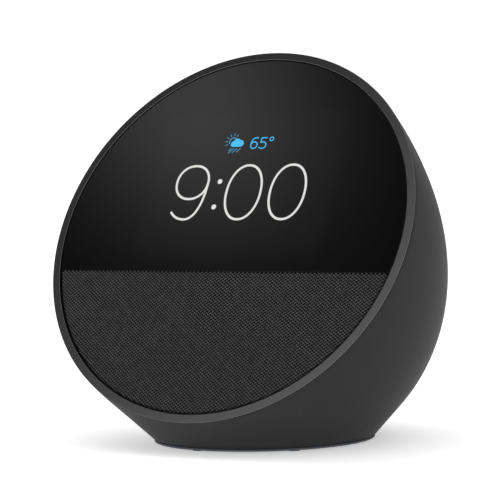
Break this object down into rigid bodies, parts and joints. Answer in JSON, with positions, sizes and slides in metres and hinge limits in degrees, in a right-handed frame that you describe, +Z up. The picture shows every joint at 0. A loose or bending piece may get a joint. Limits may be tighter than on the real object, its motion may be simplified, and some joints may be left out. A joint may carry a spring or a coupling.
{
  "type": "smart speaker",
  "caption": "Round-faced desktop smart speaker: leaning glass display over a woven grille, domed charcoal housing, top-rear buttons, rear power inlet and flat rubber-padded base.",
  "frame": {"origin": "on the table under the middle of the speaker's bounding box", "axes": "+Z up, the leaning face looks towards -Y and upwards, +X to the right seen from the front"},
  "size_m": [0.113, 0.0974, 0.1095],
  "materials": {
    "housing_plastic": "fine satin moulded texture, charcoal",
    "ring_plastic": "smooth satin, slightly lighter charcoal",
    "cover_glass": "polished near-black glass over a black mask",
    "grille_cloth": "close diagonal plain weave in charcoal yarn",
    "black_plastic": "plain moulded black",
    "button_plastic": "satin charcoal",
    "display_glass": "dark display glass",
    "diffuser": "white diffusing film",
    "steel": "plain pressed steel",
    "flex_film": "amber film",
    "cone_paper": "coated paper",
    "coil_copper": "wound copper wire",
    "spider_cloth": "resin-treated cloth",
    "ferrite": "sintered ferrite",
    "board_resin": "green circuit board",
    "aluminium": "milled finish",
    "wire_insulation": "insulated wire",
    "base_rubber": "matt blue-grey rubber"
  },
  "bodies": {
    "speaker_body": {"front_ring": "ring_plastic", "cover_lens": "cover_glass", "grille_cloth": "grille_cloth", "speaker_grille": "black_plastic", "touch_sensor": "display_glass", "display_cell": "display_glass", "display_light": "diffuser", "display_tray": "steel", "display_flex": "flex_film", "front_chassis": "black_plastic", "driver_gasket": "black_plastic", "driver_basket": "steel", "driver_surround": "black_plastic", "driver_spider": "spider_cloth", "driver_top_plate": "steel", "driver_magnet": "ferrite", "driver_yoke": "steel", "driver_screw_1": "steel", "driver_screw_2": "steel", "driver_screw_3": "steel", "driver_screw_4": "steel", "main_board": "board_resin", "board_screw_1": "steel", "board_screw_2": "steel", "board_screw_3": "steel", "board_screw_4": "steel", "processor_heat_sink": "aluminium", "radio_shield": "steel", "amplifier_chip": "black_plastic", "speaker_wire_left": "wire_insulation", "speaker_wire_right": "wire_insulation", "rear_housing": "housing_plastic", "volume_down_switch": "black_plastic", "volume_up_switch": "black_plastic", "mic_off_switch": "black_plastic", "button_board": "board_resin", "microphone_left": "steel", "button_board_screw_left": "steel", "microphone_right": "steel", "button_board_screw_right": "steel", "power_port_recess": "black_plastic", "power_jack": "black_plastic", "jack_board": "board_resin", "base_cover": "base_rubber", "base_ballast": "steel", "base_screw_1": "steel", "base_screw_2": "steel", "base_screw_3": "steel", "foot_1": "base_rubber", "foot_2": "base_rubber", "foot_3": "base_rubber", "foot_4": "base_rubber", "foot_5": "base_rubber", "foot_6": "base_rubber"},
    "volume_down_key": {"volume_down_button": "button_plastic"},
    "volume_up_key": {"volume_up_button": "button_plastic"},
    "mic_off_key": {"mic_off_button": "button_plastic"},
    "cone": {"driver_cone": "cone_paper", "driver_dust_cap": "cone_paper", "voice_coil": "coil_copper"}
  },
  "joints": [
    {"name": "volume_down_press", "type": "slide", "parent": "speaker_body", "child": "volume_down_key", "axis": [0, -0.7433, -0.6689], "range_m": [0, 0.00025], "stiffness_N_per_m": 6000},
    {"name": "volume_up_press", "type": "slide", "parent": "speaker_body", "child": "volume_up_key", "axis": [0, -0.7433, -0.6689], "range_m": [0, 0.00025], "stiffness_N_per_m": 6000},
    {"name": "mic_off_press", "type": "slide", "parent": "speaker_body", "child": "mic_off_key", "axis": [0, -0.7433, -0.6689], "range_m": [0, 0.00025], "stiffness_N_per_m": 6000},
    {"name": "cone_travel", "type": "slide", "parent": "speaker_body", "child": "cone", "axis": [0, -0.887, 0.4617], "range_m": [-0.001, 0.001], "stiffness_N_per_m": 1500, "deforming": ["driver_surround", "driver_spider"]}
  ]
}
